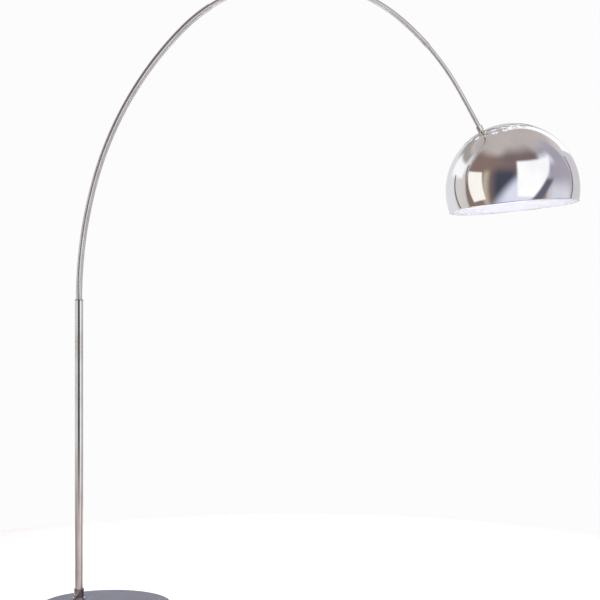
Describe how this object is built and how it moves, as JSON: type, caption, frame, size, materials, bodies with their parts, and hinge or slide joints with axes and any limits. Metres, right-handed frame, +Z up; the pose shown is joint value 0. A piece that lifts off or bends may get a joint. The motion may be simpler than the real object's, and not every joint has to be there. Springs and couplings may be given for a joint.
{
  "type": "arc floor lamp",
  "caption": "Arc floor lamp: a heavy round stone foot, an offset steel pole, a plugged steel arc that swivels, and a spun dome shade that turns on the arc's end.",
  "frame": {"origin": "middle of the round foot's underside, on the floor", "axes": "+Z up, +X from the pole out to the shade, +Y to the back, where the lead comes in"},
  "size_m": [1.6448, 0.404, 1.9503],
  "materials": {
    "honed_stone": "honed, dark blue-grey",
    "felt": "pressed felt",
    "brushed_steel": "satin, ground lengthwise",
    "bright_steel": "polished",
    "zinc_steel": "zinc plated",
    "spun_aluminium": "spun and polished outside, white enamel inside",
    "brass": "turned",
    "black_rubber": "moulded",
    "black_nylon": "moulded",
    "white_nylon": "moulded",
    "white_thermoset": "moulded",
    "core_insulation": "extruded",
    "porcelain": "unglazed",
    "opal_glass": "opal, etched inside"
  },
  "bodies": {
    "base": {"base_felt": "felt", "base_disc": "honed_stone", "base_bolt": "zinc_steel", "base_washer": "zinc_steel", "spring_washer": "zinc_steel", "foot_flange": "brushed_steel", "foot_collar": "bright_steel", "collar_grub_screw": "zinc_steel", "pole_plug": "zinc_steel", "lower_pole": "brushed_steel", "lead_inlet_bush": "black_rubber", "seam_spigot": "zinc_steel", "spigot_rivet": "bright_steel", "upper_pole": "brushed_steel", "button_spring_ring": "zinc_steel", "swivel_stop_ring": "brass", "lower_guide_bush": "white_nylon", "top_guide_bush": "black_nylon", "swivel_grub_screw": "zinc_steel", "pole_lead": "black_rubber"},
    "button": {"snap_button": "bright_steel", "button_leaf": "zinc_steel"},
    "arc": {"arc_lower_tube": "brushed_steel", "swivel_stop_pin": "zinc_steel", "arc_middle_tube": "brushed_steel", "arc_end_tube": "brushed_steel", "arc_joint_screws": "zinc_steel", "end_ferrule": "bright_steel", "ferrule_grub_screw": "zinc_steel", "outer_swivel_washer": "white_nylon", "threaded_nipple": "brass", "inner_swivel_washer": "white_nylon", "nipple_nut": "brass", "holder_cap": "white_thermoset", "holder_insert": "porcelain", "holder_skirt": "white_thermoset", "screw_shell": "brass", "centre_contact": "brass", "bulb_cap": "zinc_steel", "bulb_tip_contact": "zinc_steel", "bulb_glass": "opal_glass", "arc_lead": "black_rubber", "holder_cores": "core_insulation"},
    "shade": {"shade_dome": "spun_aluminium"}
  },
  "joints": [
    {"name": "arc_swivel", "type": "hinge", "parent": "base", "child": "arc", "pos_m": [-0.079, 0, 0.93], "axis": [0, 0, 1], "range_deg": [-160, 160]},
    {"name": "shade_swivel", "type": "hinge", "parent": "arc", "child": "shade", "pos_m": [1.24281, 0, 1.30453], "axis": [0.4679, 0, -0.8838], "continuous": true},
    {"name": "button_press", "type": "slide", "parent": "base", "child": "button", "axis": [0.7071, 0.7071, 0], "range_m": [0, 0.0036], "stiffness_N_per_m": 1500, "springref_m": -0.002}
  ]
}
